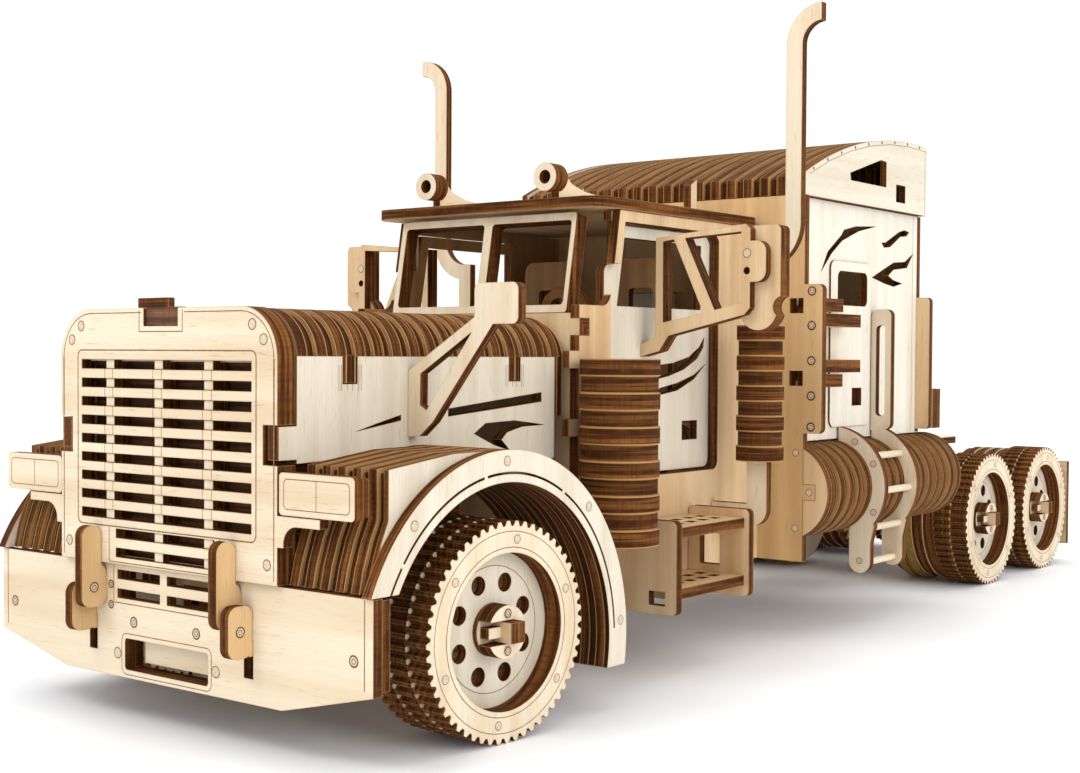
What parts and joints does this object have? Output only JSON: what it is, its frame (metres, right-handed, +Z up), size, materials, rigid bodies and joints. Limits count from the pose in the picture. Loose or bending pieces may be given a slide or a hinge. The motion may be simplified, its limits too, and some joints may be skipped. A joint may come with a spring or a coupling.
{
  "type": "wooden 3d jigsaw truck model",
  "caption": "Laser-cut plywood model of a long-nosed sleeper-cab truck tractor with opening hood and doors, steering and rolling wheels.",
  "frame": {"origin": "middle of the bounding box on the ground under the tyres", "axes": "+Z up, -Y is the front of the truck, +X its left side"},
  "size_m": [0.144, 0.3952, 0.1671],
  "materials": {
    "ply_face": "matte",
    "ply_tan": "matte",
    "ply_edge": "matte",
    "rubber": "matte"
  },
  "bodies": {
    "chassis": {"bumper": "ply_face", "bumper_guard_left": "ply_tan", "bumper_guard_right": "ply_tan", "grille_frame": "ply_face", "grille_bars": "ply_face", "hood_latch": "ply_tan", "headlight_left": "ply_face", "headlight_right": "ply_face", "fender_left": "ply_face", "fender_right": "ply_face", "chassis_frame": "ply_tan", "front_axle": "ply_tan", "engine_block": "ply_tan", "firewall": "ply_tan", "windshield_frame": "ply_face", "cab_side_left": "ply_face", "cab_side_right": "ply_face", "cab_roof": "ply_edge", "roof_horns": "ply_tan", "cab_floor": "ply_tan", "seats": "ply_tan", "air_cleaner_left": "ply_edge", "air_cleaner_right": "ply_edge", "step_left": "ply_tan", "step_right": "ply_tan", "exhaust_left": "ply_edge", "exhaust_right": "ply_edge", "sleeper_front_wall": "ply_tan", "sleeper_side_left": "ply_face", "sleeper_side_right": "ply_face", "sleeper_rear_wall": "ply_tan", "sleeper_roof": "ply_edge", "tank_left": "ply_edge", "tank_right": "ply_edge", "ladder_left": "ply_tan", "ladder_right": "ply_tan", "rear_flap": "ply_tan"},
    "hood": {"hood_ribs": "ply_edge", "hood_panel_left": "ply_face", "hood_panel_right": "ply_face", "fender_mirror": "ply_tan"},
    "door_left_body": {"door_left": "ply_face", "mirror_left": "ply_tan"},
    "door_right_body": {"door_right": "ply_face", "mirror_right": "ply_tan"},
    "knuckle_left_body": {"knuckle_left": "ply_tan"},
    "knuckle_right_body": {"knuckle_right": "ply_tan"},
    "tie_rod_body": {"tie_rod": "ply_face"},
    "front_wheel_left_body": {"front_wheel_left": "ply_face"},
    "front_wheel_right_body": {"front_wheel_right": "ply_face"},
    "rear_axle_front_body": {"rear_axle_front": "ply_tan", "rear_wheel_left_1": "ply_face", "rear_wheel_right_1": "ply_face", "rubber_bands": "rubber"},
    "rear_axle_rear_body": {"rear_axle_rear": "ply_tan", "rear_wheel_left_2": "ply_face", "rear_wheel_right_2": "ply_face"},
    "idler_body": {"idler_gear": "ply_tan"},
    "steering_wheel_body": {"steering_wheel": "ply_tan"},
    "fifth_wheel_body": {"fifth_wheel": "ply_face"}
  },
  "joints": [
    {"name": "hood_hinge", "type": "hinge", "parent": "chassis", "child": "hood", "pos_m": [0, -0.1868, 0.0856], "axis": [1, 0, 0], "range_deg": [0, 60]},
    {"name": "door_left_hinge", "type": "hinge", "parent": "chassis", "child": "door_left_body", "pos_m": [0.0325, -0.0819, 0.078], "axis": [0, 0, -1], "range_deg": [0, 12]},
    {"name": "door_right_hinge", "type": "hinge", "parent": "chassis", "child": "door_right_body", "pos_m": [-0.0325, -0.0819, 0.078], "axis": [0, 0, 1], "range_deg": [0, 12]},
    {"name": "steer_left", "type": "hinge", "parent": "chassis", "child": "knuckle_left_body", "pos_m": [0.0336, -0.1514, 0.0223], "axis": [0, 0, 1], "range_deg": [-13.2, 22.8]},
    {"name": "steer_right", "type": "hinge", "parent": "chassis", "child": "knuckle_right_body", "pos_m": [-0.0336, -0.1514, 0.0223], "axis": [0, 0, 1], "range_deg": [-13.2, 22.8]},
    {"name": "tie_rod_slide", "type": "slide", "parent": "chassis", "child": "tie_rod_body", "axis": [1, 0, 0], "range_m": [-0.0056, 0.0033]},
    {"name": "steering_wheel_turn", "type": "hinge", "parent": "chassis", "child": "steering_wheel_body", "pos_m": [0.0175, -0.0794, 0.087], "axis": [0, 0.8829, 0.4695], "range_deg": [-40, 69]},
    {"name": "front_wheel_left_spin", "type": "hinge", "parent": "knuckle_left_body", "child": "front_wheel_left_body", "pos_m": [0.04994, -0.15277, 0.0223], "axis": [0.9965, -0.0837, 0], "continuous": true},
    {"name": "front_wheel_right_spin", "type": "hinge", "parent": "knuckle_right_body", "child": "front_wheel_right_body", "pos_m": [-0.04994, -0.15003, 0.0223], "axis": [0.9965, -0.0837, 0], "continuous": true},
    {"name": "rear_axle_front_spin", "type": "hinge", "parent": "chassis", "child": "rear_axle_front_body", "pos_m": [0, 0.1194, 0.0223], "axis": [1, 0, 0], "continuous": true},
    {"name": "idler_spin", "type": "hinge", "parent": "chassis", "child": "idler_body", "pos_m": [0, 0.1451, 0.0223], "axis": [1, 0, 0], "continuous": true},
    {"name": "rear_axle_rear_spin", "type": "hinge", "parent": "chassis", "child": "rear_axle_rear_body", "pos_m": [0, 0.1708, 0.0223], "axis": [1, 0, 0], "continuous": true},
    {"name": "fifth_wheel_tilt", "type": "hinge", "parent": "chassis", "child": "fifth_wheel_body", "pos_m": [0, 0.1446, 0.0416], "axis": [1, 0, 0], "range_deg": [-8, 8]}
  ],
  "couplings": [
    {"joint": "steer_right", "follows": "steer_left", "ratio": 1},
    {"joint": "tie_rod_slide", "follows": "steer_left", "m_per_rad": -0.01385},
    {"joint": "steering_wheel_turn", "follows": "steer_left", "ratio": 3},
    {"joint": "idler_spin", "follows": "rear_axle_front_spin", "ratio": -1},
    {"joint": "rear_axle_rear_spin", "follows": "rear_axle_front_spin", "ratio": 1}
  ]
}
